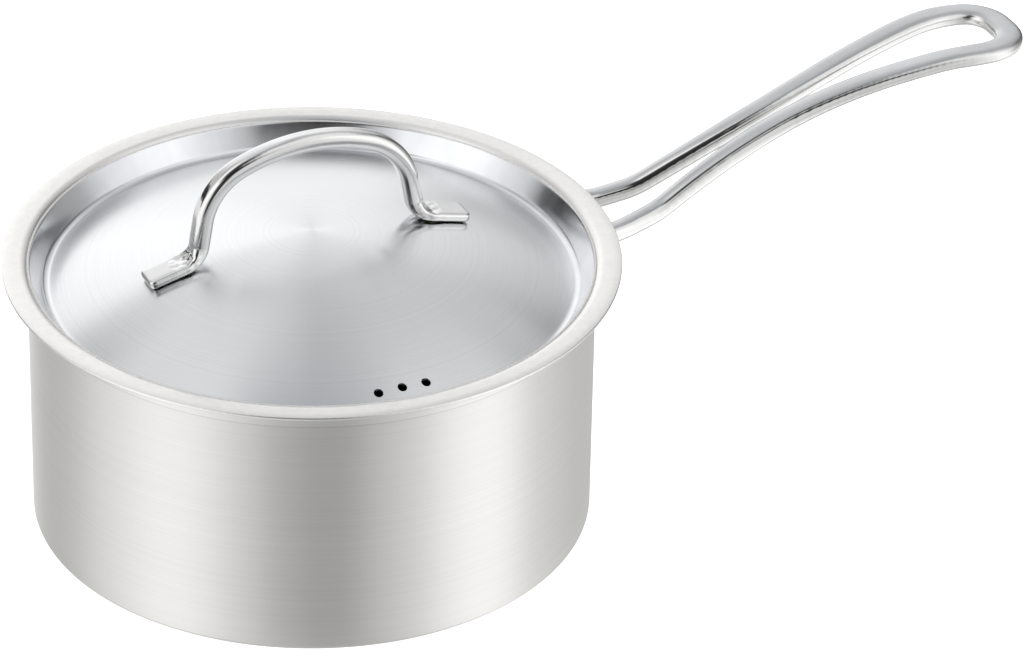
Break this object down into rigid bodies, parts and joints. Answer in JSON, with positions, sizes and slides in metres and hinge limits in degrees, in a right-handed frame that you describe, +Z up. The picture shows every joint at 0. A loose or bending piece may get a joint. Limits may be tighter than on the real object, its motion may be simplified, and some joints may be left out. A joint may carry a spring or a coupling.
{
  "type": "saucepan with lid",
  "caption": "Straight-sided steel saucepan with a flat pouring brim, a long looped rod handle and a domed drop-in lid with an arched rod handle and steam vents.",
  "frame": {"origin": "centre of the pan's base, on the surface it stands on", "axes": "+Z up along the pan's axis; +X along the long handle; the lid's handle lies along X and its vents are on the -Y side"},
  "size_m": [0.3517, 0.1984, 0.136],
  "materials": {
    "brushed_stainless": "brushed round the axis, bright rim",
    "polished_stainless": "polished rod with a satin flat on top",
    "weld_steel": "bare spot weld"
  },
  "bodies": {
    "pot": {"pot_body": "brushed_stainless", "long_handle": "polished_stainless", "pot_handle_welds": "weld_steel"},
    "lid": {"lid_shell": "brushed_stainless", "lid_handle": "polished_stainless", "lid_handle_welds": "weld_steel"}
  },
  "joints": [
    {"name": "lid_lift", "type": "slide", "parent": "pot", "child": "lid", "axis": [0, 0, 1], "range_m": [0, 0.08]}
  ]
}
